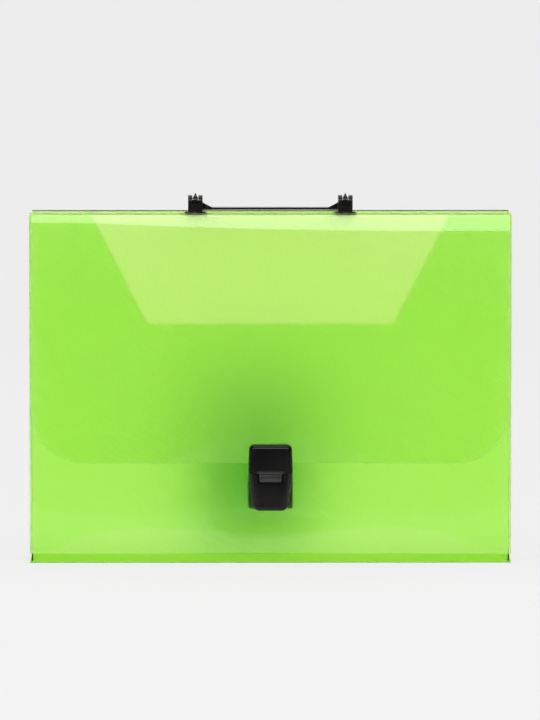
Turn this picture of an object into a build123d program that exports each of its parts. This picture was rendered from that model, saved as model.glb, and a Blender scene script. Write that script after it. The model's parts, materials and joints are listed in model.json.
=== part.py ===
from build123d import *
from math import cos, radians, sin, tan
import os

# A translucent plastic briefcase for A4 papers, standing on its base.
# The origin is the middle of the resting face, +Z is up and the front faces -Y.

# Case, in millimetres and degrees
case_width = 330.0
case_height = 240.0
base_depth = 40.0
lean = 2.2               # the front panel leans back by this angle
sheet = 1.0
channel_height = 6.5     # height of the folded strip along the foot
strip_relief = 1.6       # the strip's ends are cut back by this at its crease
bend_radius = 0.8        # of every crease, at the middle of the sheet
side_inset = 1.2         # side walls stand in from the panel edges
top_clearance = 0.6      # between the open walls and the lid above them
lid_margin = 0.7         # the lid is narrower than the front by this on each side

# Flap and the cut-out behind it
flap_gap = 1.8           # between the front panel and the flap
flap_length = 170.5
flap_corner = 36.5
cutout_top = 244.0
cutout_bottom = 168.0
cutout_depth = 75.3
cutout_corner = 5.0

# Latch, its heights measured from the flap's lower edge
latch_rise = 13.2        # top of the clasp above that edge
parting_depth = 5.0      # the split between its halves below that edge
parting_drop = 2.4
latch_depth = 32.4       # foot of the keeper below that edge
latch_thickness = 10.2   # out from the front panel
clasp_width = 30.5
clasp_top_width = 29.2
clasp_corner = 4.0
keeper_foot_width = 23.3
keeper_corner = 5.0
latch_edge = 3.0         # rounding of the outer edges
latch_wall = 1.6
latch_gap = 0.35         # between the two halves and around moving pieces
cavity_width = 20.8
notch_width = 18.7
notch_foot_width = 17.1
notch_depth = 13.9       # foot of the notch below the flap's edge
notch_floor = 3.8        # out from the front panel
notch_corner = 1.5
ledge_depth = 3.0        # from the keeper's top down to the ledge
keeper_skirt = 0.7       # thin plate of the keeper that runs up behind the clasp
backplate = 1.3
plate_margin = 0.8       # plates end this far inside what they clamp
plate_corner = 1.5
keeper_screw_high = 12.1     # from the middle, near the keeper's top
keeper_screw_low = 7.6       # from the middle, near the keeper's foot
keeper_screw_top_inset = 3.6
keeper_screw_foot_inset = 6.0
clasp_screw_edge_inset = 3.2
clasp_screw_roof_inset = 1.8

# Button and its spring catch
button_width = 16.2
button_foot_width = 14.5
button_depth = 12.7      # its foot below the flap's edge
button_rise = 4.7        # its top above that edge
button_thickness = 1.8
rib_height = 0.7
rib_width = 0.8
rib_pitch = 1.75
rib_count = 3
rib_taper = 25.0         # degrees, of the ribs' sloping sides
button_corner = 1.0
flange_thickness = 0.8   # of the button's wider back, which closes the gaps beside it
thumb_pad_height = 1.8
thumb_pad_rise = 1.6     # from the button's foot to the middle of its thumb pad
thumb_pad_margin = 1.0
shelf_height = 1.1       # of the step that lifts the catch
catch_width = 8.0
catch_thickness = 1.0
finger_thickness = 1.6
barb_length = 1.7
barb_thickness = 0.8
spring_wire = 0.8
spring_pitch = 1.5
spring_turns = 4
spring_pad = 1.5

# Handle
post_spacing = 102.8
post_width = 9.9
post_depth = 13.0
post_height = 11.3
ear_thickness = 2.8
ear_round = 3.5
pin_height = 8.0
pin_radius = 1.2
pin_fit = 0.03
knuckle_fit = 0.08
knuckle_radius = 4.2
knuckle_gap = 0.45       # each side of the knuckle
tip_height = 5.0         # of the knuckle's point above the pin
tip_root = 1.5           # the knuckle narrows from here up to its point
tip_half_depth = 1.2
post_front_wall = 1.15   # closes the slot low down at the front
post_front_drop = 1.6    # from the pin down to that wall's top
screw_share = 0.3        # of the post's depth, from its middle to each screw
grip_clearance = 0.4
grip_thickness = 1.5
grip_inner = 13.0        # from the pin to the grip's inner edge
grip_outer = 22.0        # from the pin to its outer edge
grip_edge = 0.6
arm_width = 9.0
arm_start = 6.85         # from the pin to the wide part of the arm
arm_top_rise = 2.5       # of the arm's upper side above the pin, over the pin
arm_back_rise = 1.0      # and where it starts down to the grip
arm_back_reach = 1.2
arm_low_drop = 3.0       # of its lower side below the pin
arm_round = 7.5
arm_flare_length = 9.0   # the arm widens into the grip over this
arm_flare_depth = 3.0
flare_round = 2.0
foot_plate = 1.6
foot_plate_width = 15.0
foot_plate_depth = 17.0
foot_plate_corner = 2.0

# Screws
screw_radius = 0.9
screw_fit = 0.05
head_radius = 1.7
head_height = 0.7
screw_bite = 2.6         # how far a screw goes into the moulding

# Places worked out from the sizes above
half_width = case_width / 2
lid_width = case_width - 2 * lid_margin
back_y = base_depth / 2
front_y = -base_depth / 2
lid_axis_z = case_height - sheet / 2
rear_axis_y = back_y - sheet / 2
up = (0, sin(radians(lean)), cos(radians(lean)))
outward = (0, -cos(radians(lean)), sin(radians(lean)))
crease = (0, front_y, channel_height)
front_face = Plane(origin=crease, x_dir=(1, 0, 0), z_dir=outward)
latch_side = Plane(origin=crease, x_dir=up, z_dir=(1, 0, 0))
outward_axis = Axis(crease, outward)

flap_inner = flap_gap
flap_outer = flap_gap + sheet
flap_middle = flap_gap + sheet / 2
fold_v = (lid_axis_z - channel_height - flap_middle * sin(radians(lean))) / cos(radians(lean))
fold_y = front_y + fold_v * sin(radians(lean)) - flap_middle * cos(radians(lean))
wall_top = case_height - sheet - top_clearance
front_top_v = (wall_top - channel_height) / cos(radians(lean))
front_foot_v = sheet * tan(radians(lean))
flap_bend = bend_radius * tan(radians(90 + lean) / 2)
post_y = (fold_y + back_y) / 2
pin_z = case_height + pin_height
slot_width = post_width - 2 * ear_thickness
knuckle_width = slot_width - 2 * knuckle_gap
slot_floor = pin_z - knuckle_radius - latch_gap
post_places = {"left": -post_spacing / 2, "right": post_spacing / 2}

# Heights along the front panel, up from its crease
flap_edge_v = fold_v - flap_length
latch_top_v = flap_edge_v + latch_rise
parting_v = flap_edge_v - parting_depth
latch_foot_v = flap_edge_v - latch_depth
notch_foot_v = flap_edge_v - notch_depth
button_foot_v = flap_edge_v - button_depth
button_top_v = flap_edge_v + button_rise
cavity_top_v = latch_top_v - latch_wall
cavity_roof = latch_thickness - latch_wall
lobe_v = parting_v - parting_drop
keeper_top_v = lobe_v - latch_gap
button_face = cavity_roof - latch_gap - rib_height
button_back = button_face - button_thickness
catch_back = notch_floor + latch_gap
catch_front = catch_back + catch_thickness
ledge_v = keeper_top_v - ledge_depth
finger_v = ledge_v + latch_gap
ledge_back = notch_floor - finger_thickness
barb_front = ledge_back - latch_gap
barb_back = barb_front - barb_thickness
clasp_screw_x = (cavity_width + clasp_width) / 4
clasp_screws_v = (flap_edge_v + clasp_screw_edge_inset, cavity_top_v - clasp_screw_roof_inset)
keeper_screw_points = [
    (-keeper_screw_high, keeper_top_v - keeper_screw_top_inset),
    (keeper_screw_high, keeper_top_v - keeper_screw_top_inset),
    (-keeper_screw_low, latch_foot_v + keeper_screw_foot_inset),
    (keeper_screw_low, latch_foot_v + keeper_screw_foot_inset),
]
clasp_screw_points = [(side * clasp_screw_x, v) for side in (-1, 1) for v in clasp_screws_v]
post_screw_offsets = [(0, -post_depth * screw_share), (0, post_depth * screw_share)]

# Folded channel: the bottom with a strip turned up at the front and the back
channel_y = back_y - sheet / 2
with BuildPart() as base_channel:
    with BuildSketch(Plane.YZ.offset(-half_width)):
        with BuildLine():
            FilletPolyline(
                (-channel_y, channel_height),
                (-channel_y, sheet / 2),
                (channel_y, sheet / 2),
                (channel_y, channel_height),
                radius=bend_radius,
            )
        trace(line_width=sheet)
    extrude(amount=case_width)
    with BuildSketch(Plane.XZ.offset(-base_depth)):
        for side in (-1, 1):
            with BuildLine():
                Polyline(
                    (side * half_width, sheet),
                    (side * half_width, channel_height),
                    (side * (half_width - strip_relief), channel_height),
                    close=True,
                )
            make_face()
    extrude(amount=2 * base_depth, mode=Mode.SUBTRACT)

# Back panel, up to the crease of the lid
with BuildPart() as back_panel:
    with BuildSketch(Plane.XZ.offset(-back_y)):
        with Locations((0, channel_height)):
            Rectangle(
                case_width,
                lid_axis_z - bend_radius - channel_height,
                align=(Align.CENTER, Align.MIN),
            )
    extrude(amount=sheet)

# Front panel with its wide cut-out and the holes for the keeper's screws
cutout_foot_v = fold_v - cutout_depth
with BuildPart() as front_panel:
    with BuildSketch(front_face.offset(-sheet)):
        with Locations((0, front_foot_v)):
            Rectangle(
                case_width,
                front_top_v - front_foot_v,
                align=(Align.CENTER, Align.MIN),
            )
        with BuildLine():
            cut_edge = FilletPolyline(
                (-cutout_top / 2, fold_v),
                (-cutout_bottom / 2, cutout_foot_v),
                (cutout_bottom / 2, cutout_foot_v),
                (cutout_top / 2, fold_v),
                radius=cutout_corner,
            )
            Line(cut_edge @ 1, cut_edge @ 0)
        make_face(mode=Mode.SUBTRACT)
        with Locations(*keeper_screw_points):
            Circle(screw_radius + screw_fit, mode=Mode.SUBTRACT)
    extrude(amount=sheet)

# Side walls, standing in from the edges of the front and the back
inner_top_v = (wall_top - channel_height + sheet * sin(radians(lean))) / cos(radians(lean))
inner_top_y = front_y + inner_top_v * sin(radians(lean)) + sheet * cos(radians(lean))
inner_foot_y = front_y + front_foot_v * sin(radians(lean)) + sheet * cos(radians(lean))
side_walls = {}
for side_name, side_x in (
    ("left", -half_width + side_inset),
    ("right", half_width - side_inset - sheet),
):
    with BuildPart() as side_panel:
        with BuildSketch(Plane.YZ.offset(side_x)):
            with BuildLine():
                Polyline(
                    (front_y + sheet, sheet + bend_radius),
                    (front_y + sheet + bend_radius, sheet),
                    (back_y - sheet - bend_radius, sheet),
                    (back_y - sheet, sheet + bend_radius),
                    (back_y - sheet, wall_top),
                    (inner_top_y, wall_top),
                    (inner_foot_y, channel_height),
                    (front_y + sheet, channel_height),
                    close=True,
                )
            make_face()
        extrude(amount=sheet)
    side_walls[side_name] = side_panel.part

# Lid panel between the two creases, with holes for the handle's screws
lid_front_y = fold_y + bend_radius
lid_back_y = rear_axis_y - bend_radius
with BuildPart() as top_panel:
    with BuildSketch(Plane.XY.offset(case_height - sheet)):
        with Locations((0, lid_front_y)):
            Rectangle(lid_width, lid_back_y - lid_front_y, align=(Align.CENTER, Align.MIN))
        for post_x in post_places.values():
            for offset_x, offset_y in post_screw_offsets:
                with Locations((post_x + offset_x, post_y + offset_y)):
                    Circle(screw_radius + screw_fit, mode=Mode.SUBTRACT)
    extrude(amount=sheet)

# Creases of the lid: thin bends that flex as the lid and the flap open
with BuildPart() as rear_crease:
    with BuildSketch(Plane.YZ.offset(-lid_width / 2)):
        with BuildLine():
            JernArc((lid_back_y, lid_axis_z), (1, 0), bend_radius, -90)
        trace(line_width=sheet)
    extrude(amount=lid_width)

with BuildPart() as flap_crease:
    with BuildSketch(Plane.YZ.offset(-lid_width / 2)):
        with BuildLine():
            JernArc((lid_front_y, lid_axis_z), (-1, 0), flap_bend, 90 - lean)
        trace(line_width=sheet)
    extrude(amount=lid_width)

# Flap with its two big round corners and the holes for the clasp's screws
with BuildPart() as flap:
    with BuildSketch(front_face.offset(flap_inner)):
        with BuildLine():
            flap_rim = FilletPolyline(
                (-lid_width / 2, fold_v - bend_radius),
                (-lid_width / 2, flap_edge_v),
                (lid_width / 2, flap_edge_v),
                (lid_width / 2, fold_v - bend_radius),
                radius=flap_corner,
            )
            Line(flap_rim @ 1, flap_rim @ 0)
        make_face()
        with Locations(*clasp_screw_points):
            Circle(screw_radius + screw_fit, mode=Mode.SUBTRACT)
    extrude(amount=sheet)

# Clasp: the upper half of the latch, a hollow housing on the flap
with BuildPart() as latch_clasp:
    with BuildSketch(front_face.offset(flap_outer)) as clasp_outline:
        with BuildLine():
            Polyline(
                (-clasp_width / 2, parting_v),
                (-clasp_top_width / 2, latch_top_v),
                (clasp_top_width / 2, latch_top_v),
                (clasp_width / 2, parting_v),
                (notch_width / 2, lobe_v),
                (notch_width / 2, parting_v + latch_gap),
                (-notch_width / 2, parting_v + latch_gap),
                (-notch_width / 2, lobe_v),
                close=True,
            )
        make_face()
        fillet(clasp_outline.vertices().group_by(Axis.Y)[-1], radius=clasp_corner)
    extrude(amount=latch_thickness - flap_outer)
    clasp_face = latch_clasp.faces().sort_by(outward_axis)[-1]
    brow_edges = clasp_face.edges().filter_by(
        lambda edge: front_face.to_local_coords(edge.center()).Y > parting_v + parting_drop
    )
    fillet(brow_edges, radius=latch_edge)
    with BuildSketch(front_face.offset(flap_outer)):
        with Locations((0, lobe_v)):
            Rectangle(cavity_width, cavity_top_v - lobe_v, align=(Align.CENTER, Align.MIN))
    extrude(amount=cavity_roof - flap_outer, mode=Mode.SUBTRACT)
    rail_width = (cavity_width - button_width) / 2 - latch_gap
    rail_x = (cavity_width - rail_width) / 2
    rail_back = button_back + flange_thickness + latch_gap
    with BuildSketch(front_face.offset(rail_back)):
        with Locations((-rail_x, parting_v + latch_gap), (rail_x, parting_v + latch_gap)):
            Rectangle(
                rail_width,
                cavity_top_v - parting_v - latch_gap,
                align=(Align.CENTER, Align.MIN),
            )
    extrude(amount=cavity_roof - rail_back)
    with BuildSketch(front_face.offset(flap_outer)):
        with Locations(*clasp_screw_points):
            Circle(screw_radius + screw_fit)
    extrude(amount=screw_bite + screw_fit, mode=Mode.SUBTRACT)

# Plate behind the flap that clamps the clasp
with BuildPart() as clasp_backplate:
    with BuildSketch(front_face.offset(flap_inner - backplate)) as clasp_plate_outline:
        with Locations((0, flap_edge_v + plate_margin)):
            Rectangle(
                clasp_top_width - plate_margin,
                latch_top_v - flap_edge_v - 2 * plate_margin,
                align=(Align.CENTER, Align.MIN),
            )
        fillet(clasp_plate_outline.vertices(), radius=plate_corner)
        with Locations(*clasp_screw_points):
            Circle(screw_radius + screw_fit, mode=Mode.SUBTRACT)
    extrude(amount=backplate)
    with BuildSketch(front_face.offset(flap_inner - backplate)):
        with Locations(*clasp_screw_points):
            Circle(head_radius + screw_fit)
    extrude(amount=head_height + screw_fit, mode=Mode.SUBTRACT)

with BuildPart() as clasp_screws:
    with BuildSketch(front_face.offset(flap_inner - backplate + screw_fit)):
        with Locations(*clasp_screw_points):
            Circle(head_radius)
    extrude(amount=head_height)
    with BuildSketch(front_face.offset(flap_inner - backplate + screw_fit)):
        with Locations(*clasp_screw_points):
            Circle(screw_radius)
    extrude(amount=backplate + sheet + screw_bite - screw_fit)

# Keeper: the lower half of the latch, fixed to the front panel
keeper_shoulder = parting_v - latch_gap
with BuildPart() as latch_keeper:
    with BuildSketch(front_face) as keeper_outline:
        with BuildLine():
            Polyline(
                (-clasp_width / 2, keeper_shoulder),
                (-notch_width / 2, keeper_top_v),
                (notch_width / 2, keeper_top_v),
                (clasp_width / 2, keeper_shoulder),
                (keeper_foot_width / 2, latch_foot_v),
                (-keeper_foot_width / 2, latch_foot_v),
                close=True,
            )
        make_face()
        fillet(keeper_outline.vertices().group_by(Axis.Y)[0], radius=keeper_corner)
    extrude(amount=latch_thickness)
    keeper_face = latch_keeper.faces().sort_by(outward_axis)[-1]
    chin_edges = keeper_face.edges().filter_by(
        lambda edge: front_face.to_local_coords(edge.center()).Y < keeper_top_v - latch_gap
    )
    fillet(chin_edges, radius=latch_edge)
    with BuildSketch(front_face):
        with Locations((0, ledge_v)):
            Rectangle(
                clasp_top_width - plate_margin,
                flap_edge_v - ledge_v,
                align=(Align.CENTER, Align.MIN),
            )
    extrude(amount=keeper_skirt)
    with BuildSketch(front_face.offset(notch_floor)) as notch_outline:
        with BuildLine():
            Polyline(
                (-notch_width / 2, keeper_shoulder),
                (notch_width / 2, keeper_shoulder),
                (notch_foot_width / 2, notch_foot_v),
                (-notch_foot_width / 2, notch_foot_v),
                close=True,
            )
        make_face()
        fillet(notch_outline.vertices().group_by(Axis.Y)[0], radius=notch_corner)
    extrude(amount=latch_thickness, mode=Mode.SUBTRACT)
    slot_half = catch_width / 2 + 2 * latch_gap
    with BuildSketch(front_face):
        with Locations((0, ledge_v)):
            Rectangle(2 * slot_half, keeper_shoulder - ledge_v, align=(Align.CENTER, Align.MIN))
    extrude(amount=notch_floor, mode=Mode.SUBTRACT)
    with BuildSketch(front_face):
        with Locations((0, ledge_v)):
            Rectangle(2 * slot_half, barb_length + latch_gap, align=(Align.CENTER, Align.MAX))
    extrude(amount=ledge_back, mode=Mode.SUBTRACT)
    with BuildSketch(front_face):
        with Locations(*keeper_screw_points):
            Circle(screw_radius + screw_fit)
    extrude(amount=screw_bite + screw_fit, mode=Mode.SUBTRACT)

# Plate behind the front panel that clamps the keeper
with BuildPart() as keeper_backplate:
    with BuildSketch(front_face.offset(-sheet - backplate)) as keeper_plate_outline:
        with Locations((0, latch_foot_v + plate_margin)):
            Rectangle(
                clasp_width,
                keeper_top_v - latch_foot_v - plate_margin,
                align=(Align.CENTER, Align.MIN),
            )
        fillet(keeper_plate_outline.vertices(), radius=plate_corner)
        with Locations(*keeper_screw_points):
            Circle(screw_radius + screw_fit, mode=Mode.SUBTRACT)
    extrude(amount=backplate)
    with BuildSketch(front_face.offset(-sheet - backplate)):
        with Locations(*keeper_screw_points):
            Circle(head_radius + screw_fit)
    extrude(amount=head_height + screw_fit, mode=Mode.SUBTRACT)

with BuildPart() as keeper_screws:
    with BuildSketch(front_face.offset(-sheet - backplate + screw_fit)):
        with Locations(*keeper_screw_points):
            Circle(head_radius)
    extrude(amount=head_height)
    with BuildSketch(front_face.offset(-sheet - backplate + screw_fit)):
        with Locations(*keeper_screw_points):
            Circle(screw_radius)
    extrude(amount=backplate + sheet + screw_bite - screw_fit)

# Ribbed button: a plate that slides up behind the clasp's front wall
button_waist_v = parting_v + latch_gap
flange_foot_v = lobe_v + latch_gap
with BuildPart() as latch_button:
    with BuildSketch(front_face.offset(button_back)) as button_outline:
        with BuildLine():
            Polyline(
                (-button_foot_width / 2, button_foot_v),
                (button_foot_width / 2, button_foot_v),
                (button_width / 2, button_waist_v),
                (button_width / 2, button_top_v),
                (-button_width / 2, button_top_v),
                (-button_width / 2, button_waist_v),
                close=True,
            )
        make_face()
        fillet(button_outline.vertices().group_by(Axis.Y)[0], radius=button_corner)
    extrude(amount=button_thickness)
    with BuildSketch(front_face.offset(button_back)):
        with Locations((0, flange_foot_v)):
            Rectangle(
                cavity_width - 2 * latch_gap,
                button_top_v - flange_foot_v,
                align=(Align.CENTER, Align.MIN),
            )
    extrude(amount=flange_thickness)
    with BuildSketch(front_face.offset(button_face)):
        for row in range(rib_count):
            with Locations((0, parting_v - rib_width - row * rib_pitch)):
                Rectangle(button_foot_width, rib_width)
        with Locations((0, button_foot_v + thumb_pad_rise)):
            Rectangle(button_foot_width - 2 * thumb_pad_margin, thumb_pad_height)
    extrude(amount=rib_height, taper=rib_taper)
    with BuildSketch(front_face.offset(catch_back)):
        with Locations((0, ledge_v)):
            Rectangle(catch_width, shelf_height, align=(Align.CENTER, Align.MAX))
    extrude(amount=button_back - catch_back)

# Spring catch: zigzag leaf, plate and barbed finger in one moulding
spring_foot_v = cavity_top_v - spring_pad - spring_turns * spring_pitch
finger_top_v = finger_v + finger_thickness
barb_foot_v = finger_v - barb_length
with BuildPart() as latch_catch:
    with BuildSketch(latch_side.offset(-catch_width / 2)):
        with BuildLine():
            Polyline(
                (finger_v, catch_front),
                (spring_foot_v, catch_front),
                (spring_foot_v, catch_back),
                (finger_top_v, catch_back),
                (finger_top_v, barb_back),
                (barb_foot_v + barb_thickness / 2, barb_back),
                (barb_foot_v, barb_front),
                (finger_v, barb_front),
                close=True,
            )
        make_face()
    extrude(amount=catch_width)
    with BuildSketch(front_face.offset(catch_back)):
        with BuildLine():
            turns = [(0, spring_foot_v)]
            for turn in range(spring_turns):
                reach = (catch_width - spring_wire) / 2 * (-1) ** turn
                turns.append((reach, spring_foot_v + (turn + 0.5) * spring_pitch))
            turns.append((0, cavity_top_v - spring_pad / 2))
            Polyline(*turns)
        trace(line_width=spring_wire)
        with Locations((0, cavity_top_v)):
            Rectangle(catch_width, spring_pad, align=(Align.CENTER, Align.MAX))
    extrude(amount=catch_thickness)

# Handle brackets: a post with two ears for the pin
front_wall_height = pin_z - post_front_drop - slot_floor
brackets = {}
pins = {}
plates = {}
for side_name, post_x in post_places.items():
    with BuildPart() as handle_bracket:
        with BuildSketch(Plane.YZ.offset(post_x - post_width / 2)) as ear_outline:
            with Locations((post_y, case_height)):
                Rectangle(post_depth, post_height, align=(Align.CENTER, Align.MIN))
            fillet(ear_outline.vertices().group_by(Axis.Y)[-1], radius=ear_round)
            with Locations((post_y, pin_z)):
                Circle(pin_radius + pin_fit, mode=Mode.SUBTRACT)
        extrude(amount=post_width)
        with BuildSketch(Plane.YZ.offset(post_x - slot_width / 2)):
            with Locations((post_y, slot_floor)):
                Rectangle(2 * post_depth, post_height, align=(Align.CENTER, Align.MIN))
        extrude(amount=slot_width, mode=Mode.SUBTRACT)
        with BuildSketch(Plane.YZ.offset(post_x - slot_width / 2)):
            with Locations((post_y - post_depth / 2, slot_floor)):
                Rectangle(post_front_wall, front_wall_height, align=(Align.MIN, Align.MIN))
        extrude(amount=slot_width)
        with BuildSketch(Plane.XY.offset(case_height)):
            for offset_x, offset_y in post_screw_offsets:
                with Locations((post_x + offset_x, post_y + offset_y)):
                    Circle(screw_radius + screw_fit)
        extrude(amount=screw_bite + screw_fit, mode=Mode.SUBTRACT)
    brackets[side_name] = handle_bracket.part

    with BuildPart() as handle_pin:
        with BuildSketch(Plane.YZ.offset(post_x - post_width / 2)):
            with Locations((post_y, pin_z)):
                Circle(pin_radius)
        extrude(amount=post_width)
    pins[side_name] = handle_pin.part

    with BuildPart() as foot_backplate:
        with BuildSketch(Plane.XY.offset(case_height - sheet - foot_plate)) as foot_outline:
            with Locations((post_x, post_y)):
                Rectangle(foot_plate_width, foot_plate_depth)
            fillet(foot_outline.vertices(), radius=foot_plate_corner)
            for offset_x, offset_y in post_screw_offsets:
                with Locations((post_x + offset_x, post_y + offset_y)):
                    Circle(screw_radius + screw_fit, mode=Mode.SUBTRACT)
        extrude(amount=foot_plate)
        with BuildSketch(Plane.XY.offset(case_height - sheet - foot_plate)):
            for offset_x, offset_y in post_screw_offsets:
                with Locations((post_x + offset_x, post_y + offset_y)):
                    Circle(head_radius + screw_fit)
        extrude(amount=head_height + screw_fit, mode=Mode.SUBTRACT)
    plates[side_name] = foot_backplate.part

with BuildPart() as bracket_screws:
    screw_foot_z = case_height - sheet - foot_plate + screw_fit
    for post_x in post_places.values():
        for offset_x, offset_y in post_screw_offsets:
            with BuildSketch(Plane.XY.offset(screw_foot_z)):
                with Locations((post_x + offset_x, post_y + offset_y)):
                    Circle(head_radius)
            extrude(amount=head_height)
            with BuildSketch(Plane.XY.offset(screw_foot_z)):
                with Locations((post_x + offset_x, post_y + offset_y)):
                    Circle(screw_radius)
            extrude(amount=foot_plate + sheet + screw_bite - screw_fit)

# Handle: cranked arms and a flat grip, cut to a U as seen from above
grip_low = case_height + grip_clearance
grip_high = grip_low + grip_thickness
grip_middle = (grip_low + grip_high) / 2
outer_reach = (post_spacing + arm_width) / 2
inner_reach = (post_spacing - arm_width) / 2
knuckle_half = knuckle_width / 2
with BuildPart() as handle_grip:
    with BuildSketch(Plane.YZ.offset(-outer_reach)):
        with BuildLine():
            Polyline(
                (post_y, pin_z + arm_top_rise),
                (post_y + arm_start + arm_back_reach, pin_z + arm_back_rise),
                (post_y + grip_inner - grip_edge, grip_high),
                (post_y + grip_outer - grip_edge, grip_high),
                (post_y + grip_outer, grip_middle),
                (post_y + grip_outer - grip_edge, grip_low),
                (post_y + grip_inner - grip_thickness, grip_low),
                (post_y + arm_start, slot_floor + 2 * latch_gap),
                (post_y, pin_z - arm_low_drop),
                close=True,
            )
        make_face()
        with Locations((post_y, pin_z)):
            Circle(knuckle_radius)
    extrude(amount=2 * outer_reach)
    with BuildSketch(Plane.XY.offset(case_height)) as plan:
        with Locations((0, post_y + arm_start)):
            Rectangle(
                2 * outer_reach,
                grip_outer - arm_start,
                align=(Align.CENTER, Align.MIN),
            )
        fillet(plan.vertices().group_by(Axis.Y)[-1], radius=arm_round)
        with BuildLine():
            inner_edge = FilletPolyline(
                (-inner_reach, post_y),
                (-inner_reach, post_y + grip_inner - arm_flare_depth),
                (-inner_reach + arm_flare_length, post_y + grip_inner),
                (inner_reach - arm_flare_length, post_y + grip_inner),
                (inner_reach, post_y + grip_inner - arm_flare_depth),
                (inner_reach, post_y),
                radius=flare_round,
            )
            Line(inner_edge @ 1, inner_edge @ 0)
        make_face(mode=Mode.SUBTRACT)
        for post_x in post_places.values():
            with Locations((post_x, post_y - post_depth)):
                Rectangle(
                    knuckle_width,
                    2 * post_depth,
                    align=(Align.CENTER, Align.MIN),
                )
    extrude(amount=2 * post_height, mode=Mode.INTERSECT)
    for post_x in post_places.values():
        with BuildSketch(Plane.XZ.offset(-post_y - 2 * knuckle_radius)):
            with BuildLine():
                Polyline(
                    (post_x - knuckle_width, pin_z + tip_root),
                    (post_x - knuckle_half, pin_z + tip_root),
                    (post_x, pin_z + tip_height),
                    (post_x + knuckle_half, pin_z + tip_root),
                    (post_x + knuckle_width, pin_z + tip_root),
                    (post_x + knuckle_width, pin_z + 2 * tip_height),
                    (post_x - knuckle_width, pin_z + 2 * tip_height),
                    close=True,
                )
            make_face()
        extrude(amount=4 * knuckle_radius, mode=Mode.SUBTRACT)
        with BuildSketch(Plane.XZ.offset(-post_y - tip_half_depth)):
            with BuildLine():
                Polyline(
                    (post_x - knuckle_half, pin_z + tip_root),
                    (post_x + knuckle_half, pin_z + tip_root),
                    (post_x, pin_z + tip_height),
                    close=True,
                )
            make_face()
        extrude(amount=2 * tip_half_depth)
        with BuildSketch(Plane.YZ.offset(post_x - post_width)):
            with Locations((post_y, pin_z)):
                Circle(pin_radius + knuckle_fit)
        extrude(amount=2 * post_width, mode=Mode.SUBTRACT)

# Labels and files
pieces = {
    "base_channel": base_channel.part,
    "back_panel": back_panel.part,
    "front_panel": front_panel.part,
    "side_panel_left": side_walls["left"],
    "side_panel_right": side_walls["right"],
    "latch_keeper": latch_keeper.part,
    "keeper_backplate": keeper_backplate.part,
    "keeper_screws": keeper_screws.part,
    "rear_crease": rear_crease.part,
    "top_panel": top_panel.part,
    "handle_bracket_left": brackets["left"],
    "handle_bracket_right": brackets["right"],
    "handle_pin_left": pins["left"],
    "handle_pin_right": pins["right"],
    "bracket_backplate_left": plates["left"],
    "bracket_backplate_right": plates["right"],
    "bracket_screws": bracket_screws.part,
    "handle_grip": handle_grip.part,
    "flap_crease": flap_crease.part,
    "flap": flap.part,
    "latch_clasp": latch_clasp.part,
    "clasp_backplate": clasp_backplate.part,
    "clasp_screws": clasp_screws.part,
    "latch_catch": latch_catch.part,
    "latch_button": latch_button.part,
}
os.makedirs("parts", exist_ok=True)
for piece_name, piece in pieces.items():
    piece.label = piece_name
    export_step(piece, "parts/" + piece_name + ".step")
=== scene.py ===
import json
import bpy
import numpy as np
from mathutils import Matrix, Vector


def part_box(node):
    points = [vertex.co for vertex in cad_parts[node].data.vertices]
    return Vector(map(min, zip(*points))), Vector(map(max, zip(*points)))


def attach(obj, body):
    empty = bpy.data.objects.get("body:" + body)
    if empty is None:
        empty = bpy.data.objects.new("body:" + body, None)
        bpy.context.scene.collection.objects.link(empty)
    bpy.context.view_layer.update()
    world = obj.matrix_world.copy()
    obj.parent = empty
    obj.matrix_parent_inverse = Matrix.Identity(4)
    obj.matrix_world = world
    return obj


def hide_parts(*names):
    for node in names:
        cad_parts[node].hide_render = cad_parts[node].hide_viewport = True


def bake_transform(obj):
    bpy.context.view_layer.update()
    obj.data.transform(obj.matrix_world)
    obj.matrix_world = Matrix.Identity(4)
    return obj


# A translucent green document briefcase with a black latch and handle.
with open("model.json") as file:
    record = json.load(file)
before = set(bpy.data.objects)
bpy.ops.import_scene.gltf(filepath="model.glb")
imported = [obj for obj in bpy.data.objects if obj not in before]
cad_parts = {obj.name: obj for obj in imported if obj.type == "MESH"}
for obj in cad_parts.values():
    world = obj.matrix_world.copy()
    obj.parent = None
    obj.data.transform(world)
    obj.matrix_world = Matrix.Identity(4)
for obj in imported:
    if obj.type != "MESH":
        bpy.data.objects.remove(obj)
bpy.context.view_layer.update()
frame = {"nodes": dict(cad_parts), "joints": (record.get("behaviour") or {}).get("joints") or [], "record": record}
nodes = frame["nodes"]
joints = {joint["name"]: joint for joint in frame["joints"]}
millimetre = 0.001

# The flap hangs from the fold, so places on the front are measured from it:
# across the case, down from the fold, and out from the middle of the flap sheet.
foldPoint = np.array([0.0] + list(joints["flap_fold"]["pos_m"])[1:])
upAlongFront = np.array(joints["button_slide"]["axis"], float)
upAlongFront /= np.linalg.norm(upAlongFront)
acrossFront = np.array([1.0, 0.0, 0.0])
outOfFront = np.cross(acrossFront, upAlongFront)


def frontPlace(across, down, out):
    # Fold point, plus across along X, minus down along the leaning front, plus out along its normal.
    return (
        foldPoint
        + across[..., None] * acrossFront
        - down[..., None] * upAlongFront
        + out[..., None] * outOfFront
    )


def downFromFold(point):
    return float(np.dot(foldPoint - np.array(point), upAlongFront))


def smoothStep(value):
    # Three squares minus two cubes of the value held between zero and one.
    held = np.clip(value, 0, 1)
    return held * held * (3 - 2 * held)


edgeShape = {"bevelShare": 0.12, "bevelAngle": 60}


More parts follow.
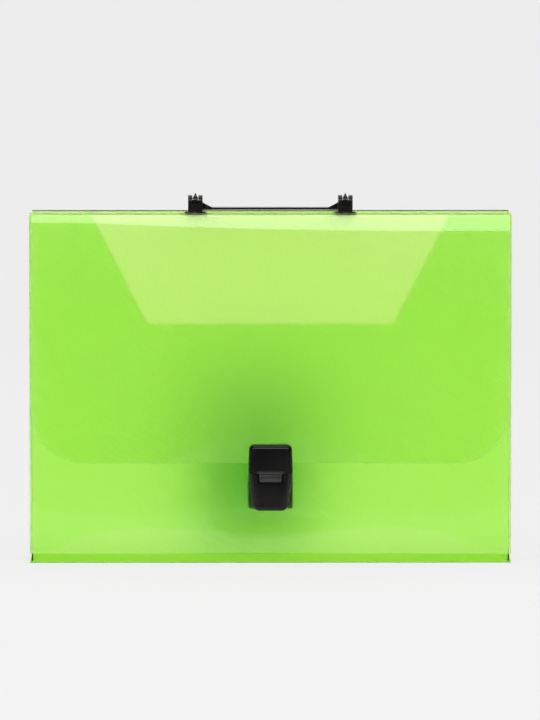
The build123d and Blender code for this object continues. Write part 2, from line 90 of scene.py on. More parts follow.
def gridPiece(name, points, materialName, thickness=0.0, closedAround=False, paintedLight=None):
    # A grid of points becomes a mesh of quads: each cell joins its four neighbours in order.
    # Where painted light is given, each point keeps its value, from zero to one, for the material's painted
    # highlights and reflections.
    rows, columns = points.shape[:2]
    index = np.arange(rows * columns).reshape(rows, columns)
    if closedAround:
        index = np.concatenate([index, index[:, :1]], axis=1)
    cells = np.stack(
        [index[:-1, :-1], index[:-1, 1:], index[1:, 1:], index[1:, :-1]], axis=-1
    ).reshape(-1, 4)
    mesh = bpy.data.meshes.new(name)
    mesh.vertices.add(rows * columns)
    mesh.vertices.foreach_set("co", points.reshape(-1).astype(np.float32))
    mesh.loops.add(len(cells) * 4)
    mesh.loops.foreach_set("vertex_index", cells.reshape(-1).astype(np.int32))
    mesh.polygons.add(len(cells))
    mesh.polygons.foreach_set("loop_start", np.arange(0, len(cells) * 4, 4, dtype=np.int32))
    mesh.update(calc_edges=True)
    mesh.validate()
    mesh.shade_smooth()
    if paintedLight is not None:
        layer = mesh.attributes.new("paintedLight", "FLOAT", "POINT")
        layer.data.foreach_set("value", paintedLight.reshape(-1).astype(np.float32))
    piece = bpy.data.objects.new(name, mesh)
    bpy.context.scene.collection.objects.link(piece)
    piece.data.materials.append(bpy.data.materials[materialName])
    if thickness:
        wall = piece.modifiers.new("sheetThickness", "SOLIDIFY")
        wall.thickness = thickness
        wall.offset = 0.0
        wall.use_even_offset = True
        edge = piece.modifiers.new("cutEdge", "BEVEL")
        edge.width = thickness * edgeShape["bevelShare"]
        edge.segments = 1
        edge.limit_method = "ANGLE"
        edge.angle_limit = np.radians(edgeShape["bevelAngle"])
    return piece


# Materials

def addNode(tree, kind, **values):
    node = tree.nodes.new(kind)
    for key, value in values.items():
        if key in node.inputs:
            node.inputs[key].default_value = value
        else:
            setattr(node, key, value)
    return node


def mathNode(tree, operation, first, second=None):
    node = tree.nodes.new("ShaderNodeMath")
    node.operation = operation
    for slot, value in enumerate((first, second)):
        if value is None:
            continue
        if isinstance(value, (int, float)):
            node.inputs[slot].default_value = value
        else:
            tree.links.new(value, node.inputs[slot])
    return node.outputs[0]


def newGroup(name, inputs, outputs):
    group = bpy.data.node_groups.new(name, "ShaderNodeTree")
    for socketName, kind, default in inputs:
        socket = group.interface.new_socket(name=socketName, in_out="INPUT", socket_type=kind)
        socket.default_value = default
    for socketName, kind in outputs:
        group.interface.new_socket(name=socketName, in_out="OUTPUT", socket_type=kind)
    return group, group.nodes.new("NodeGroupInput"), group.nodes.new("NodeGroupOutput")


embossShape = {
    "pitch": 1.65 * millimetre,
    "across": (0.669, 0.743, 0.743),
    "waviness": 0.35,
    "waveScale": 60.0,
    "grainScale": 1400.0,
    "grainShare": 0.5,
    "cloudScale": 14.0,
}


def embossGroup(shape):
    # Diagonal ridges: the sine of the distance across the lines, roughened by noise.
    group, entry, leave = newGroup(
        "diagonalEmboss",
        [
            ("Pitch", "NodeSocketFloat", shape["pitch"]),
            ("Waviness", "NodeSocketFloat", shape["waviness"]),
        ],
        [
            ("Height", "NodeSocketFloat"),
            ("Clouding", "NodeSocketFloat"),
            ("Crest", "NodeSocketFloat"),
        ],
    )
    place = addNode(group, "ShaderNodeTexCoord")
    across = addNode(group, "ShaderNodeVectorMath", operation="DOT_PRODUCT")
    group.links.new(place.outputs["Object"], across.inputs[0])
    across.inputs[1].default_value = shape["across"]
    phase = mathNode(group, "DIVIDE", across.outputs["Value"], entry.outputs["Pitch"])
    drift = addNode(group, "ShaderNodeTexNoise", Scale=shape["waveScale"], Detail=2.0)
    group.links.new(place.outputs["Object"], drift.inputs["Vector"])
    wander = mathNode(group, "MULTIPLY", drift.outputs["Fac"], entry.outputs["Waviness"])
    turns = mathNode(group, "MULTIPLY", mathNode(group, "ADD", phase, wander), 2 * np.pi)
    ridge = mathNode(group, "SINE", turns)
    fine = addNode(group, "ShaderNodeTexNoise", Scale=shape["grainScale"], Detail=2.0)
    group.links.new(place.outputs["Object"], fine.inputs["Vector"])
    speckle = mathNode(group, "MULTIPLY", fine.outputs["Fac"], shape["grainShare"])
    height = mathNode(group, "ADD", ridge, speckle)
    cloud = addNode(group, "ShaderNodeTexNoise", Scale=shape["cloudScale"], Detail=3.0)
    group.links.new(place.outputs["Object"], cloud.inputs["Vector"])
    crest = mathNode(group, "ADD", mathNode(group, "MULTIPLY", ridge, 0.5), 0.5)
    group.links.new(height, leave.inputs["Height"])
    group.links.new(cloud.outputs["Fac"], leave.inputs["Clouding"])
    group.links.new(crest, leave.inputs["Crest"])
    return group


grainShape = {"size": 2200.0, "sheen": 0.4, "driftScale": 90.0, "drift": 0.25, "wearGain": 6.0}


def grainGroup(shape):
    # Moulded grain: small pits of noise, with a slow drift in sheen over the surface.
    group, entry, leave = newGroup(
        "mouldedGrain",
        [
            ("Grain size", "NodeSocketFloat", shape["size"]),
            ("Sheen", "NodeSocketFloat", shape["sheen"]),
        ],
        [("Height", "NodeSocketFloat"), ("Roughness", "NodeSocketFloat"), ("Wear", "NodeSocketFloat")],
    )
    place = addNode(group, "ShaderNodeTexCoord")
    pits = addNode(group, "ShaderNodeTexVoronoi", feature="F1")
    group.links.new(place.outputs["Object"], pits.inputs["Vector"])
    group.links.new(entry.outputs["Grain size"], pits.inputs["Scale"])
    slow = addNode(group, "ShaderNodeTexNoise", Scale=shape["driftScale"], Detail=4.0)
    group.links.new(place.outputs["Object"], slow.inputs["Vector"])
    swing = mathNode(group, "SUBTRACT", slow.outputs["Fac"], 0.5)
    swing = mathNode(group, "MULTIPLY", swing, shape["drift"])
    group.links.new(pits.outputs["Distance"], leave.inputs["Height"])
    group.links.new(mathNode(group, "ADD", entry.outputs["Sheen"], swing), leave.inputs["Roughness"])
    edge = addNode(group, "ShaderNodeNewGeometry")
    worn = mathNode(group, "SUBTRACT", edge.outputs["Pointiness"], 0.5)
    worn = mathNode(group, "MULTIPLY", worn, shape["wearGain"])
    worn = mathNode(group, "MAXIMUM", mathNode(group, "MINIMUM", worn, 1.0), 0.0)
    group.links.new(worn, leave.inputs["Wear"])
    return group


def newMaterial(name):
    material = bpy.data.materials.new(name)
    material.use_nodes = True
    return material, material.node_tree, material.node_tree.nodes["Principled BSDF"]


# Each look's groove colour is a painted shade, darker in the emboss grooves.
sheetLooks = {
    "greenSheet": {
        "colour": (0.71, 0.99, 0.40),
        "cloudedColour": (0.69, 0.98, 0.37),
        "paintedGrooveShadeColour": (0.64, 0.945, 0.31),
        "gloss": (0.6, 0.9),
        "refraction": 1.25,
        "ridgeStrength": 0.6,
    },
    # The flap's paler tint is painted light, as if the flap met more front light than the other sheets.
    "greenFlapPaintedLight": {
        "colour": (0.955, 1.0, 0.69),
        "cloudedColour": (0.935, 1.0, 0.65),
        "paintedGrooveShadeColour": (0.74, 0.955, 0.38),
        "gloss": (0.7, 1.0),
        "refraction": 1.32,
        "ridgeStrength": 0.6,
    },
    "greenPlain": {
        "colour": (0.71, 0.99, 0.38),
        "cloudedColour": (0.69, 0.98, 0.355),
        "paintedGrooveShadeColour": (0.655, 0.955, 0.30),
        "gloss": None,
        "refraction": 1.15,
        "ridgeStrength": 0.6,
    },
    "greenSide": {
        "colour": (0.84, 1.0, 0.55),
        "cloudedColour": (0.82, 0.995, 0.52),
        "paintedGrooveShadeColour": (0.78, 0.98, 0.45),
        "gloss": None,
        "refraction": 1.1,
        "ridgeStrength": 0.3,
    },
    # The lid's and creases' paler tint is painted light, for tops lit from above.
    "greenLidPaintedLight": {
        "colour": (0.92, 1.0, 0.74),
        "cloudedColour": (0.90, 0.995, 0.70),
        "paintedGrooveShadeColour": (0.86, 0.98, 0.64),
        "gloss": None,
        "refraction": 1.05,
        "ridgeStrength": 0.02,
    },
    # The channel's darker tint is painted shade, for the shade under the overhanging front panel.
    "greenChannelPaintedShade": {
        "colour": (0.62, 0.93, 0.24),
        "cloudedColour": (0.60, 0.92, 0.22),
        "paintedGrooveShadeColour": (0.56, 0.90, 0.19),
        "gloss": None,
        "refraction": 1.1,
        "ridgeStrength": 0.3,
    },
}
# The ridge contrast sets how much painted shade the grooves take.
sheetFinish = {
    # The pale colour and its stripes are the painted highlights and reflections.
    "paintedHighlightColour": (0.97, 1.0, 0.86),
    "roughness": 0.75,
    "transmission": 0.985,
    "ridgeDepth": 0.05 * millimetre,
    "paintedGrooveContrast": 0.8,
    "paintedHighlightStripes": 0.3,
    "roughnessDrift": 0.08,
    "glossRoughness": 0.08,
}


def greenSheetMaterial(name, look, finish, embossing):
    # The tint deepens in the grooves, a painted shade, and pales where the mesh marks painted highlights and
    # reflections; only the outer face of a sheet has the gloss, because the inner one is met from inside.
    material, tree, shader = newMaterial(name)
    emboss = tree.nodes.new("ShaderNodeGroup")
    emboss.node_tree = embossing
    crest = emboss.outputs["Crest"]
    tint = addNode(tree, "ShaderNodeMix", data_type="RGBA")
    tint.inputs["A"].default_value = (*look["colour"], 1)
    tint.inputs["B"].default_value = (*look["cloudedColour"], 1)
    tree.links.new(emboss.outputs["Clouding"], tint.inputs["Factor"])
    # Painted shade in the grooves: the groove colour, as far as the contrast allows.
    lined = addNode(tree, "ShaderNodeMix", data_type="RGBA")
    lined.inputs["A"].default_value = (*look["paintedGrooveShadeColour"], 1)
    tree.links.new(tint.outputs["Result"], lined.inputs["B"])
    shown = mathNode(tree, "MULTIPLY", crest, finish["paintedGrooveContrast"])
    tree.links.new(mathNode(tree, "ADD", shown, 1 - finish["paintedGrooveContrast"]), lined.inputs["Factor"])
    # Painted highlights and reflections: the pale colour mixed in where the mesh marks them, striped along the
    # ridges.
    pale = addNode(tree, "ShaderNodeMix", data_type="RGBA")
    pale.inputs["B"].default_value = (*finish["paintedHighlightColour"], 1)
    tree.links.new(lined.outputs["Result"], pale.inputs["A"])
    marked = addNode(tree, "ShaderNodeAttribute", attribute_name="paintedLight")
    striped = mathNode(tree, "MULTIPLY", crest, finish["paintedHighlightStripes"])
    striped = mathNode(tree, "ADD", striped, 1 - finish["paintedHighlightStripes"])
    tree.links.new(mathNode(tree, "MULTIPLY", marked.outputs["Fac"], striped), pale.inputs["Factor"])
    tree.links.new(pale.outputs["Result"], shader.inputs["Base Color"])
    if look["gloss"]:
        grooveGloss, crestGloss = look["gloss"]
        raised = mathNode(tree, "MULTIPLY", crest, crestGloss - grooveGloss)
        raised = mathNode(tree, "ADD", raised, grooveGloss)
        face = addNode(tree, "ShaderNodeNewGeometry")
        outer = mathNode(tree, "SUBTRACT", 1.0, face.outputs["Backfacing"])
        tree.links.new(mathNode(tree, "MULTIPLY", raised, outer), shader.inputs["Coat Weight"])
        shader.inputs["Coat Roughness"].default_value = finish["glossRoughness"]
    drift = mathNode(tree, "MULTIPLY", emboss.outputs["Clouding"], finish["roughnessDrift"])
    drift = mathNode(tree, "ADD", drift, finish["roughness"] - finish["roughnessDrift"] / 2)
    tree.links.new(drift, shader.inputs["Roughness"])
    bump = addNode(
        tree, "ShaderNodeBump", Strength=look["ridgeStrength"], Distance=finish["ridgeDepth"]
    )
    tree.links.new(emboss.outputs["Height"], bump.inputs["Height"])
    tree.links.new(bump.outputs["Normal"], shader.inputs["Normal"])
    shader.inputs["IOR"].default_value = look["refraction"]
    shader.inputs["Transmission Weight"].default_value = finish["transmission"]
    return material


blackLooks = {
    "blackPlastic": {
        "colour": (0.0018, 0.0018, 0.0017),
        "wornColour": (0.012, 0.0115, 0.011),
        "sheen": 0.18,
        "specular": 0.27,
        "grainSize": 2200.0,
        "pitDepth": 0.02 * millimetre,
        "pitStrength": 0.35,
    },
    "blackButton": {
        "colour": (0.009, 0.0085, 0.008),
        "wornColour": (0.05, 0.048, 0.045),
        "sheen": 0.42,
        "specular": 0.6,
        "grainSize": 2600.0,
        "pitDepth": 0.015 * millimetre,
        "pitStrength": 0.35,
    },
}


def blackPlasticMaterial(name, look, graining):
    material, tree, shader = newMaterial(name)
    grain = tree.nodes.new("ShaderNodeGroup")
    grain.node_tree = graining
    grain.inputs["Grain size"].default_value = look["grainSize"]
    grain.inputs["Sheen"].default_value = look["sheen"]
    tint = addNode(tree, "ShaderNodeMix", data_type="RGBA")
    tint.inputs["A"].default_value = (*look["colour"], 1)
    tint.inputs["B"].default_value = (*look["wornColour"], 1)
    tree.links.new(grain.outputs["Wear"], tint.inputs["Factor"])
    tree.links.new(tint.outputs["Result"], shader.inputs["Base Color"])
    tree.links.new(grain.outputs["Roughness"], shader.inputs["Roughness"])
    shader.inputs["Specular IOR Level"].default_value = look["specular"]
    bump = addNode(
        tree, "ShaderNodeBump", Strength=look["pitStrength"], Distance=look["pitDepth"]
    )
    tree.links.new(grain.outputs["Height"], bump.inputs["Height"])
    tree.links.new(bump.outputs["Normal"], shader.inputs["Normal"])
    return material


steelLook = {"colour": (0.56, 0.56, 0.57), "sheen": 0.3, "grainSize": 5000.0}


def steelMaterial(name, look, graining):
    material, tree, shader = newMaterial(name)
    grain = tree.nodes.new("ShaderNodeGroup")
    grain.node_tree = graining
    grain.inputs["Grain size"].default_value = look["grainSize"]
    grain.inputs["Sheen"].default_value = look["sheen"]
    shader.inputs["Base Color"].default_value = (*look["colour"], 1)
    shader.inputs["Metallic"].default_value = 1.0
    tree.links.new(grain.outputs["Roughness"], shader.inputs["Roughness"])
    return material


embossing = embossGroup(embossShape)
graining = grainGroup(grainShape)
for lookName, look in sheetLooks.items():
    greenSheetMaterial(lookName, look, sheetFinish, embossing)
for lookName, look in blackLooks.items():
    blackPlasticMaterial(lookName, look, graining)
steelMaterial("zincSteel", steelLook, graining)
slotMaterials = {
    "green_sheet": "greenSheet",
    "black_plastic": "blackPlastic",
    "screw_steel": "zincSteel",
}
# Part tints: a lighter black for the button, a paler green for the sides, a paler green for the lid, painted
# light, and a darker green for the base channel, painted shade.
finishAndPaintedLightByPart = {
    "latch_button": "blackButton",
    "base_channel": "greenChannelPaintedShade",
    "side_panel_left": "greenSide",
    "side_panel_right": "greenSide",
    "top_panel": "greenLidPaintedLight",
}
for subpart in frame["record"]["subparts"]:
    node = nodes[subpart["node"]]
    finish = finishAndPaintedLightByPart.get(subpart["node"], slotMaterials[subpart["material_slot"]])
    node.data.materials.clear()
    node.data.materials.append(bpy.data.materials[finish])
print("materials made")


# Sheets: the flap, the front and the back are slightly pillowed, as bent sheet is

latchLow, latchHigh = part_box("latch_clasp")
keeperLow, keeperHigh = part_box("latch_keeper")
latchShape = {
    "halfWidth": latchHigh.x,
    "topDown": downFromFold((0, (latchLow.y + latchHigh.y) / 2, latchHigh.z)),
    "footDown": downFromFold((0, (keeperLow.y + keeperHigh.y) / 2, keeperLow.z)),
    "flatMargin": 3.0 * millimetre,
}


def heldFlat(across, down, shape, reach):
    # Zero over the latch's rectangle, rising smoothly to one at the given reach away from it.
    sideways = np.maximum(np.abs(across) - shape["halfWidth"] - shape["flatMargin"], 0)
    above = np.maximum(shape["topDown"] - shape["flatMargin"] - down, 0)
    below = np.maximum(down - shape["footDown"] - shape["flatMargin"], 0)
    return smoothStep(np.hypot(sideways, above + below) / reach)


flapLow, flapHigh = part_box("flap")
# The band and dome values paint reflections, the top values a glow, and the rim a highlight on the flap: all
# painted light.
flapShape = {
    "halfWidth": flapHigh.x,
    "top": 0.8 * millimetre,
    "length": downFromFold((0, flapLow.y, flapLow.z)),
    "cornerRadius": 36.5 * millimetre,
    "thickness": 1.0 * millimetre,
    "rollSlope": 0.13,
    "rollBend": 0.4 * millimetre,
    "bulge": 1.1 * millimetre,
    "bulgeTurn": 0.6 * np.pi,
    "straightRows": 0.6,
    "rowCrowding": 1.5,
    "pullReach": 62.0 * millimetre,
    "bandDepth": (5.4 * millimetre, 11.0 * millimetre),
    "bandStart": -125.0 * millimetre,
    "bandReach": 250.0 * millimetre,
    "bandPaintedReflection": 0.5,
    "domeHalfWidth": 73.0 * millimetre,
    "domeHeight": 18.5 * millimetre,
    "domeRoundness": 2.4,
    "domePaintedReflection": 0.45,
    "softEdge": 1.0 * millimetre,
    "topPaintedGlow": 0.45,
    "paintedGlowReach": 75.0 * millimetre,
}


def inside(distance, softEdge):
    # One where the distance inside an outline is positive, with a soft edge across it.
    return smoothStep(distance / softEdge + 0.5)


# Painted highlight along the cut edges of the sheets.
rimShape = {
    "cutWidth": 0.9 * millimetre,
    "cutPaintedHighlight": 0.55,
    "fringe": 7.0 * millimetre,
    "fringePaintedHighlight": 0.4,
}


def rimPaintedHighlight(fromSide, fromFoot):
    # A painted highlight: a thin pale line along the cut edge, and a wider pale fringe that fades in from the
    # sides.
    nearest = np.minimum(fromSide, fromFoot)
    cut = inside(rimShape["cutWidth"] - nearest, rimShape["cutWidth"]) * rimShape["cutPaintedHighlight"]
    fringe = rimShape["fringePaintedHighlight"] * (1 - smoothStep(fromSide / rimShape["fringe"]))
    return np.maximum(cut, fringe)


def bandDepth(across, shape):
    # Deeper to the right, by a parabola that levels off.
    lean = np.clip((across - shape["bandStart"]) / shape["bandReach"], 0, 1)
    shallow, deep = shape["bandDepth"]
    return shallow + (deep - shallow) * (1 - (1 - lean) ** 2)


def flapPaintedLight(across, down, shape):
    # Painted reflections: a pale band along the fold, and a pale dome that rises from the lower edge around the
    # latch by one minus a power of its width; a painted glow in the upper corners; and the rim's painted
    # highlight.
    depth = bandDepth(across, shape)
    band = inside(depth - down, shape["softEdge"]) * shape["bandPaintedReflection"]
    width = np.clip(np.abs(across) / shape["domeHalfWidth"], 0, 1)
    height = shape["domeHeight"] * (1 - width ** shape["domeRoundness"])
    rise = height - (shape["length"] - down)
    dome = inside(rise, shape["softEdge"]) * (width < 1) * shape["domePaintedReflection"]
    drop = np.maximum(down - shape["length"] + shape["cornerRadius"], 0)
    corner = shape["cornerRadius"] - np.sqrt(np.maximum(shape["cornerRadius"] ** 2 - drop ** 2, 0))
    fromSide = shape["halfWidth"] - corner - np.abs(across)
    paintedGlow = shape["topPaintedGlow"] * (1 - smoothStep(down / shape["paintedGlowReach"]))
    paintedGlow = paintedGlow * smoothStep(np.abs(across) / shape["halfWidth"])
    rim = rimPaintedHighlight(fromSide, shape["length"] - down)
    return np.maximum(np.maximum(band, dome), np.maximum(paintedGlow, rim))


def flapSheet(shape, rows=130, columns=180):
    # Rows run across at each height; in the corner rows the half-width follows a circle.
    # The sheet slopes out from the fold as far as the band is deep, by a soft minimum,
    # then bellies by the product of a cosine across and a sine down, and is drawn back
    # flat around the latch.
    share = np.linspace(0, 1, rows)[:, None]
    side = np.linspace(-1, 1, columns)[None, :]
    radius = shape["cornerRadius"]
    straight = shape["length"] - radius - shape["top"]
    rowsAbove = shape["straightRows"]
    cornerRows = np.clip((share - rowsAbove) / (1 - rowsAbove), 0, 1)
    down = np.where(
        share < rowsAbove,
        shape["top"] + straight * (share / rowsAbove) ** shape["rowCrowding"],
        shape["top"] + straight + radius * np.sin(cornerRows * np.pi / 2),
    )
    halfWidth = shape["halfWidth"] - radius * (1 - np.cos(cornerRows * np.pi / 2))
    across = side * halfWidth
    down = down + 0 * side
    depth = bandDepth(across, shape)
    bend = shape["rollBend"]
    rolled = -bend * np.log(np.exp(-(down - shape["top"]) / bend) + np.exp(-depth / bend))
    rolled = shape["rollSlope"] * np.maximum(rolled, 0)
    arch = np.cos(across / shape["halfWidth"] * np.pi / 2)
    hang = np.clip(down / shape["length"], 0, 1)
    belly = shape["bulge"] * arch * np.sin(hang * shape["bulgeTurn"])
    held = heldFlat(across, down, latchShape, shape["pullReach"])
    return frontPlace(across, down, (rolled + belly) * held), flapPaintedLight(across, down, shape)


flapPoints, flapPaintedMask = flapSheet(flapShape)
flap = gridPiece("flap_sheet", flapPoints, "greenFlapPaintedLight", flapShape["thickness"], paintedLight=flapPaintedMask)
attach(flap, "flap")
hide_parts("flap")

frontShape = {
    "halfWidth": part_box("front_panel")[1].x,
    "behindFlap": 2.8 * millimetre,
    "topCorner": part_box("front_panel")[1],
    "foot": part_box("front_panel")[0],
    "cutTop": 122.0 * millimetre,
    "cutBottom": 84.0 * millimetre,
    "cutDepth": 75.3 * millimetre,
    "cornerBlend": 1.6 * millimetre,
    "thickness": 1.0 * millimetre,
    "bulge": 1.5 * millimetre,
    "archRoundness": 0.7,
    "footCurl": 9.0 * millimetre,
    "footRoundness": 1.3,
    "cornerZone": 6.0 * millimetre,
    "columnCounts": (40, 70, 24),
    "pullReach": 34.0 * millimetre,
    # The band values paint a reflection above the lower crease: painted light.
    "bandHeight": (13.5 * millimetre, 18.0 * millimetre),
    "bandHalfWidth": 155.0 * millimetre,
    "bandRise": 0.54,
    "bandFall": 0.55,
    "bandClosing": 2.2,
    "bandPaintedReflection": 0.28,
    "softEdge": 1.2 * millimetre,
}


def frontPaintedLight(across, above, shape):
    # A painted reflection: a pale band above the lower crease, highest halfway out and closing at both ends; with
    # the rim's painted highlight.
    width = np.clip(np.abs(across) / shape["bandHalfWidth"], 0, 1)
    low, high = shape["bandHeight"]
    height = low + (high - low) * smoothStep(width / shape["bandRise"])
    closing = np.clip((width - shape["bandFall"]) / (1 - shape["bandFall"]), 0, 1)
    height = height * (1 - closing ** shape["bandClosing"])
    band = inside(height - above, shape["softEdge"]) * (width < 1) * shape["bandPaintedReflection"]
    return np.maximum(band, rimPaintedHighlight(shape["halfWidth"] - np.abs(across), above))


def frontSheet(shape, rows=130):
    # Columns run from the top edge, or the cut-out's edge, down to the crease at the foot.
    # The cut-out's edge is the lower of two straight lines, joined by a soft minimum.
    # The sheet stands proud most a little above the crease and less towards the top.
    topDown = downFromFold(shape["topCorner"])
    footDown = downFromFold((0, shape["foot"].y, shape["foot"].z))
    inner = shape["cutBottom"]
    outer = shape["cutTop"]
    half = shape["halfWidth"]
    middleCount, slantCount, sideCount = shape["columnCounts"]
    slantStart = inner - shape["cornerZone"]
    oneSide = np.concatenate([
        np.linspace(0, slantStart, middleCount, endpoint=False),
        np.linspace(slantStart, outer, slantCount, endpoint=False),
        np.linspace(outer, half, sideCount),
    ])
    across = np.concatenate([-oneSide[::-1], oneSide[1:]])[None, :]
    slope = (shape["cutDepth"] - topDown) / (outer - inner)
    line = shape["cutDepth"] - (np.abs(across) - inner) * slope
    softness = shape["cornerBlend"]
    edge = -softness * np.log(np.exp(-line / softness) + np.exp(-shape["cutDepth"] / softness))
    edge = np.where(np.abs(across) >= outer, topDown, np.maximum(edge, topDown))
    share = np.linspace(0, 1, rows)[:, None]
    down = edge + (footDown - edge) * share
    across = across + 0 * share
    above = np.maximum(footDown - down, 0)
    fall = 1 - np.exp(-((above / shape["footCurl"]) ** shape["footRoundness"]))
    fall = fall * np.clip(down / footDown, 0, 1)
    arch = np.cos(across / half * np.pi / 2) ** shape["archRoundness"]
    held = heldFlat(across, down, latchShape, shape["pullReach"])
    out = shape["bulge"] * arch * fall * held - shape["behindFlap"]
    return frontPlace(across, down, out), frontPaintedLight(across, above, shape)


frontPoints, frontPaintedMask = frontSheet(frontShape)
front = gridPiece(
    "front_sheet", frontPoints, "greenSheet", frontShape["thickness"], paintedLight=frontPaintedMask
)
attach(front, "case")
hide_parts("front_panel")

backLow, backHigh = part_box("back_panel")
backShape = {
    "halfWidth": backHigh.x,
    "low": backLow.z,
    "high": backHigh.z,
    "middle": (backLow.y + backHigh.y) / 2,
    "thickness": backHigh.y - backLow.y,
    "bulge": 1.2 * millimetre,
    "archRoundness": 0.8,
}


def backSheet(shape, rows=60, columns=80):
    # A flat rectangle pushed out by the product of a cosine across and a sine up.
    up = np.linspace(0, 1, rows)[:, None]
    side = np.linspace(1, -1, columns)[None, :]
    arch = (np.cos(side * np.pi / 2) * np.sin(up * np.pi)) ** shape["archRoundness"]
    x = side * shape["halfWidth"] + 0 * up
    y = shape["middle"] + shape["bulge"] * arch
    z = shape["high"] + (shape["low"] - shape["high"]) * up + 0 * side
    return np.stack([x, y, z], axis=-1)


back = gridPiece("back_sheet", backSheet(backShape), "greenPlain", backShape["thickness"])
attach(back, "case")
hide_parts("back_panel")
print("sheets made")


# Creases: short bends between two panels, scored thin along the middle

creaseShape = {
    "halfWidth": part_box("flap_crease")[1].x,
    "inset": 0.8 * millimetre,
    "thickness": 1.0 * millimetre,
    "scored": 0.5,
}


def creaseStrip(axisPoint, firstAlong, lastAlong, shape, steps=10, columns=60):
    # The middle line is a quadratic curve from one panel's end to the other's, with its
    # control point on the hinge axis; the sheet is thinner there by a raised cosine.
    share = np.linspace(0, 1, steps)[:, None]
    first = axisPoint + firstAlong * shape["inset"]
    last = axisPoint + lastAlong * shape["inset"]
    middle = (1 - share) ** 2 * first + 2 * share * (1 - share) * axisPoint + share ** 2 * last
    heading = 2 * (1 - share) * (axisPoint - first) + 2 * share * (last - axisPoint)
    heading /= np.linalg.norm(heading, axis=1, keepdims=True)
    sideways = np.stack([0 * heading[:, 0], -heading[:, 2], heading[:, 1]], axis=1)
    thin = 1 - (1 - shape["scored"]) * 0.5 * (1 - np.cos(share * 2 * np.pi))
    half = shape["thickness"] / 2 * thin
    outline = np.concatenate([middle + sideways * half, (middle - sideways * half)[::-1]])
    x = np.linspace(-shape["halfWidth"], shape["halfWidth"], columns)
    points = np.repeat(outline[None, :, :], columns, axis=0)
    points[:, :, 0] = x[:, None]
    return points, first, last


def closeEnds(piece, around):
    # The first and last rings of the strip are each closed with one face.
    mesh = piece.data
    count = len(mesh.vertices)
    coordinates = np.zeros(count * 3)
    mesh.vertices.foreach_get("co", coordinates)
    faces = [list(polygon.vertices) for polygon in mesh.polygons]
    faces.append(list(range(around)))
    faces.append(list(range(count - around, count))[::-1])
    mesh.clear_geometry()
    mesh.from_pydata(coordinates.reshape(-1, 3).tolist(), [], faces)
    mesh.update()
    return piece


def makeCrease(name, jointName, firstAlong, lastAlong, nodeName):
    axisPoint = np.array([0.0] + list(joints[jointName]["pos_m"])[1:])
    points, first, last = creaseStrip(axisPoint, firstAlong, lastAlong, creaseShape)
    piece = gridPiece(name, points, "greenLidPaintedLight", closedAround=True)
    closeEnds(piece, points.shape[1])
    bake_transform(piece)
    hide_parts(nodeName)
    return piece


makeCrease(
    "rear_crease_strip", "lid_fold",
    np.array([0.0, 0.0, -1.0]), np.array([0.0, -1.0, 0.0]),
    "rear_crease",
)
makeCrease(
    "flap_crease_strip", "flap_fold",
    np.array([0.0, 1.0, 0.0]), -upAlongFront,
    "flap_crease",
)
print("creases made")


# Stage: a pale sweep, lights and the camera

stageLook = {
    "colour": 0.855,
    "seenLevel": 0.872,
    "shadowShare": 0.12,
    "shadowThroughSheet": 0.7,
    "throughLevel": 1.0,
    "frontEdge": -0.65,
    "wallAt": 3.2,
    "sweepRadius": 1.5,
    "wallTop": 5.0,
    "halfWidth": 5.0,
}


def sweepSurface(look, steps=24):
    # Floor, then a quarter circle, then a wall: one profile carried sideways.
    turn = np.linspace(0, np.pi / 2, steps)
    radius = look["sweepRadius"]
    curve = look["wallAt"] - radius + radius * np.sin(turn)
    y = np.concatenate([[look["frontEdge"]], curve, [look["wallAt"]]])
    z = np.concatenate([[0.0], radius * (1 - np.cos(turn)), [look["wallTop"]]])
    x = np.array([look["halfWidth"], -look["halfWidth"]])
    points = np.zeros((len(y), 2, 3))
    points[:, :, 0] = x[None, :]
    points[:, :, 1] = y[:, None]
    points[:, :, 2] = z[:, None]
    return points


def sweepMaterial(look):
    # Seen directly, in gloss or through the sheet, most of it is an even pale tone.
    material = bpy.data.materials.new("studioPaper")
    material.use_nodes = True
    tree = material.node_tree
    tree.nodes.remove(tree.nodes["Principled BSDF"])
    diffuse = addNode(tree, "ShaderNodeBsdfDiffuse")
    diffuse.inputs["Color"].default_value = (look["colour"],) * 3 + (1,)
    glow = addNode(tree, "ShaderNodeEmission", Strength=1.0)
    path = addNode(tree, "ShaderNodeLightPath")
    level = addNode(tree, "ShaderNodeMix", data_type="FLOAT")
    level.inputs["A"].default_value = look["seenLevel"]
    level.inputs["B"].default_value = look["throughLevel"]
    tree.links.new(path.outputs["Is Transmission Ray"], level.inputs["Factor"])
    tree.links.new(level.outputs["Result"], glow.inputs["Color"])
    seen = mathNode(tree, "MAXIMUM", path.outputs["Is Camera Ray"], path.outputs["Is Glossy Ray"])
    direct = mathNode(tree, "MULTIPLY", seen, 1 - look["shadowShare"])
    through = mathNode(
        tree, "MULTIPLY", path.outputs["Is Transmission Ray"], 1 - look["shadowThroughSheet"]
    )
    mixed = addNode(tree, "ShaderNodeMixShader")
    tree.links.new(mathNode(tree, "MAXIMUM", direct, through), mixed.inputs[0])
    tree.links.new(diffuse.outputs[0], mixed.inputs[1])
    tree.links.new(glow.outputs[0], mixed.inputs[2])
    tree.links.new(mixed.outputs[0], tree.nodes["Material Output"].inputs["Surface"])
    return material


sweepMaterial(stageLook)
backdrop = gridPiece("studioSweep", sweepSurface(stageLook), "studioPaper")

airLook = {"ambient": 0.5, "seenLevel": 0.865, "throughLevel": 1.0, "inGloss": 0.03}


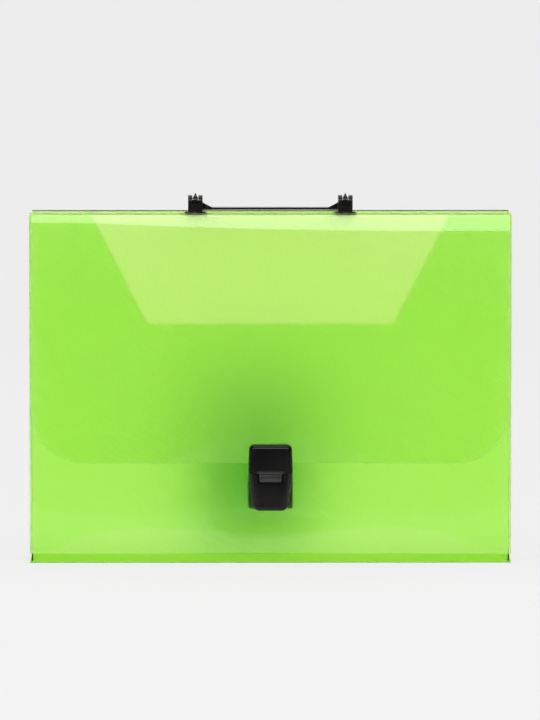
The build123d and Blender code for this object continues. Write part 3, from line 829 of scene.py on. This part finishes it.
def studioAir(look):
    # The same pale tone where it is seen, a dark room in reflections, and soft light elsewhere.
    world = bpy.data.worlds.new("studioAir")
    bpy.context.scene.world = world
    world.use_nodes = True
    tree = world.node_tree
    path = addNode(tree, "ShaderNodeLightPath")
    level = look["ambient"]
    for ray, value in (
        ("Is Camera Ray", look["seenLevel"]),
        ("Is Transmission Ray", look["throughLevel"]),
        ("Is Glossy Ray", look["inGloss"]),
    ):
        choice = addNode(tree, "ShaderNodeMix", data_type="FLOAT")
        if isinstance(level, float):
            choice.inputs["A"].default_value = level
        else:
            tree.links.new(level, choice.inputs["A"])
        choice.inputs["B"].default_value = value
        tree.links.new(path.outputs[ray], choice.inputs["Factor"])
        level = choice.outputs["Result"]
    background = tree.nodes["Background"]
    background.inputs["Color"].default_value = (1, 1, 1, 1)
    tree.links.new(level, background.inputs["Strength"])


studioAir(airLook)

# Painted shade: a green card behind the case, met only by light that comes through the sheets, stands in for shade
# and gives the soft darker patch around the latch.
cardShape = {
    "middle": -0.011,
    "halfWidth": 0.037,
    "top": 0.114,
    "behind": 0.1,
    "colour": (0.07, 0.52, 0.09),
}


def shadeCard(shape):
    # A flat upright rectangle of two by two points.
    x = np.array([-1, 1])[None, :] * shape["halfWidth"] + shape["middle"]
    z = np.array([0.0, 1.0])[:, None] * shape["top"]
    points = np.stack([x + 0 * z, 0 * x + 0 * z + shape["behind"], z + 0 * x], axis=-1)
    material = bpy.data.materials.new("paintedShadeCardLook")
    material.use_nodes = True
    shader = material.node_tree.nodes["Principled BSDF"]
    shader.inputs["Base Color"].default_value = (*shape["colour"], 1)
    shader.inputs["Roughness"].default_value = 1.0
    card = gridPiece("shadeCard", points, "paintedShadeCardLook")
    card.visible_camera = False
    card.visible_diffuse = False
    card.visible_glossy = False
    card.visible_shadow = False


shadeCard(cardShape)

lights = {
    "softboxAbove": {"place": (0.0, -0.1, 2.0), "aim": (0, 0, 0), "size": (2.2, 1.8), "watts": 26.0},
    "softboxFront": {"place": (0.0, -2.4, 1.05), "aim": (0, 0, 0.2), "size": (2.6, 0.9), "watts": 36.0},
}
for lightName, light in lights.items():
    lamp = bpy.data.lights.new(lightName, "AREA")
    lamp.shape = "RECTANGLE"
    lamp.size, lamp.size_y = light["size"]
    lamp.energy = light["watts"]
    holder = bpy.data.objects.new(lightName, lamp)
    bpy.context.scene.collection.objects.link(holder)
    holder.location = light["place"]
    holder.visible_camera = False
    holder.visible_transmission = False
    towards = Vector(light["aim"]) - Vector(light["place"])
    holder.rotation_euler = towards.to_track_quat("-Z", "Y").to_euler()

# The camera's numbers are fitted to the corners of the photograph: frame 540 by 720 pixels.
view = {
    "place": (-0.0138, -3.0, 0.4446),
    "pitchDown": 5.294,
    "turn": -0.259,
    "focalPixels": 4385.5,
    "shiftPixels": 41.5,
    "frameHeight": 720,
}
cameraData = bpy.data.cameras.new("photoCamera")
cameraData.sensor_fit = "VERTICAL"
cameraData.sensor_height = 24.0
cameraData.lens = view["focalPixels"] / view["frameHeight"] * cameraData.sensor_height
cameraData.shift_y = -view["shiftPixels"] / view["frameHeight"]
camera = bpy.data.objects.new("photoCamera", cameraData)
bpy.context.scene.collection.objects.link(camera)
camera.location = view["place"]
camera.rotation_euler = (
    np.radians(90 - view["pitchDown"]),
    0,
    np.radians(view["turn"]),
)
bpy.context.scene.camera = camera
bpy.context.scene.view_settings.view_transform = "Standard"
print("stage made")
